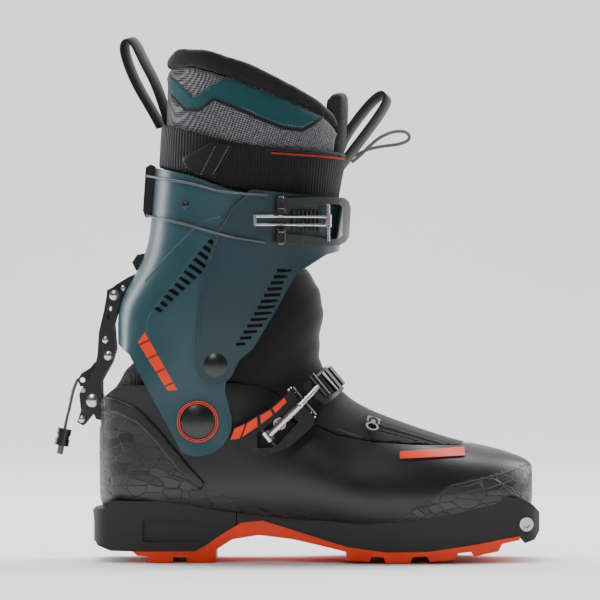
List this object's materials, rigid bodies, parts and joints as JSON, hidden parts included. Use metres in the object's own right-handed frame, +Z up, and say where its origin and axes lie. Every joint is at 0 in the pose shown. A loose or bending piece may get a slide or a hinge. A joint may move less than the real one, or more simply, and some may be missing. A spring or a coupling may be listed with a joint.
{
  "type": "touring ski boot",
  "caption": "Right touring ski boot with a hinged cuff, walk lever, buckles, power strap, liner, zip gaiter and lugged rubber sole.",
  "frame": {"origin": "on the ground straight below the ankle pivot axis, in the boot's middle plane", "axes": "+X towards the toe, +Y towards the inner side of the foot, +Z up"},
  "size_m": [0.3359, 0.1223, 0.362],
  "materials": {
    "shell_black": "satin moulded plastic",
    "sole_black": "matt moulded",
    "sole_orange": "matt rubber",
    "steel": "brushed",
    "dark_metal": "black anodised",
    "cuff_teal": "satin moulded plastic",
    "flap_teal": "satin moulded plastic",
    "accent_orange": "satin",
    "gaiter_fabric": "coated stretch fabric",
    "liner_grey": "knit mesh",
    "liner_black": "brushed lining",
    "webbing": "ribbed webbing",
    "grey_cord": "braided cord",
    "footbed_foam": "felt"
  },
  "bodies": {
    "shell": {"lower_shell": "shell_black", "midsole": "sole_black", "outsole": "sole_orange", "heel_block": "sole_black", "heel_insert": "steel", "heel_insert_screws": "steel", "toe_fitting": "steel", "boot_board": "shell_black", "footbed": "footbed_foam", "liner_foot": "liner_black", "gaiter_lower": "gaiter_fabric", "zip_tape": "gaiter_fabric", "toe_tag": "accent_orange", "ankle_rivets": "dark_metal", "spine_fork": "dark_metal", "spine_pin": "steel", "instep_buckle_base": "dark_metal", "instep_rivets": "steel", "instep_band": "shell_black", "instep_ladder": "dark_metal"},
    "cuff": {"cuff": "cuff_teal", "cuff_stripe": "accent_orange", "ankle_rings": "accent_orange", "cuff_flap": "flap_teal", "flap_rivets": "dark_metal", "cuff_rivets": "dark_metal", "cable_bracket": "dark_metal", "cuff_cables": "steel", "lever_bracket": "dark_metal", "lever_pivot_pin": "steel", "bracket_screws": "steel", "lean_adjuster": "dark_metal", "liner_shaft": "liner_grey", "liner_collar": "liner_black", "liner_tongue": "liner_black", "gaiter_upper": "gaiter_fabric", "rear_pull_loop": "webbing", "front_pull_loop": "webbing", "power_strap": "webbing", "strap_patch": "webbing", "cuff_buckle_base": "dark_metal", "cuff_buckle_pins": "steel", "cuff_ladder": "dark_metal", "liner_cord": "grey_cord"},
    "walk_lever": {"walk_lever_plates": "dark_metal", "walk_lever_rivets": "steel", "lean_rack": "dark_metal", "leash_anchor": "dark_metal", "leash_cord": "grey_cord", "cord_toggle": "dark_metal", "leash_knot": "grey_cord"},
    "cuff_buckle_lever": {"cuff_buckle_lever": "dark_metal", "cuff_lever_pin": "steel"},
    "cuff_buckle_bail": {"cuff_buckle_bail": "steel"},
    "instep_lever": {"instep_lever": "dark_metal", "instep_lever_marks": "accent_orange"},
    "instep_arm": {"instep_arm": "steel", "instep_hook": "dark_metal"},
    "zip_slider": {"zip_slider": "dark_metal"},
    "zip_pull": {"zip_pull": "dark_metal"}
  },
  "joints": [
    {"name": "cuff_pivot", "type": "hinge", "parent": "shell", "child": "cuff", "pos_m": [0, 0, 0.0969], "axis": [0, 1, 0], "range_deg": [-10, 18]},
    {"name": "walk_lever_pivot", "type": "hinge", "parent": "cuff", "child": "walk_lever", "pos_m": [-0.0586, 0, 0.1833], "axis": [0, 1, 0], "range_deg": [0, 100]},
    {"name": "cuff_buckle_pivot", "type": "hinge", "parent": "cuff", "child": "cuff_buckle_lever", "pos_m": [0.057, -0.05883, 0.233], "axis": [0, 0, -1], "range_deg": [0, 110]},
    {"name": "cuff_bail_pivot", "type": "hinge", "parent": "cuff_buckle_lever", "child": "cuff_buckle_bail", "pos_m": [0.089, -0.04346, 0.233], "axis": [0, 0, -1], "range_deg": [-110, 0]},
    {"name": "instep_lever_pivot", "type": "hinge", "parent": "shell", "child": "instep_lever", "pos_m": [0.0709, -0.044, 0.1092], "axis": [-0.638, 0, 0.77], "range_deg": [0, 110]},
    {"name": "instep_arm_pivot", "type": "hinge", "parent": "instep_lever", "child": "instep_arm", "pos_m": [0.04815, -0.04982, 0.08701], "axis": [-0.638, 0, 0.77], "range_deg": [-110, 0]},
    {"name": "zip_slide", "type": "slide", "parent": "shell", "child": "zip_slider", "axis": [0.9586, 0, -0.2848], "range_m": [0, 0.014]},
    {"name": "zip_pull_pivot", "type": "hinge", "parent": "zip_slider", "child": "zip_pull", "pos_m": [0.12084, -0.02728, 0.09824], "axis": [-0.9586, 0, 0.2848], "range_deg": [0, 90]}
  ],
  "couplings": [
    {"joint": "cuff_bail_pivot", "follows": "cuff_buckle_pivot", "ratio": -1},
    {"joint": "instep_arm_pivot", "follows": "instep_lever_pivot", "ratio": -1}
  ]
}
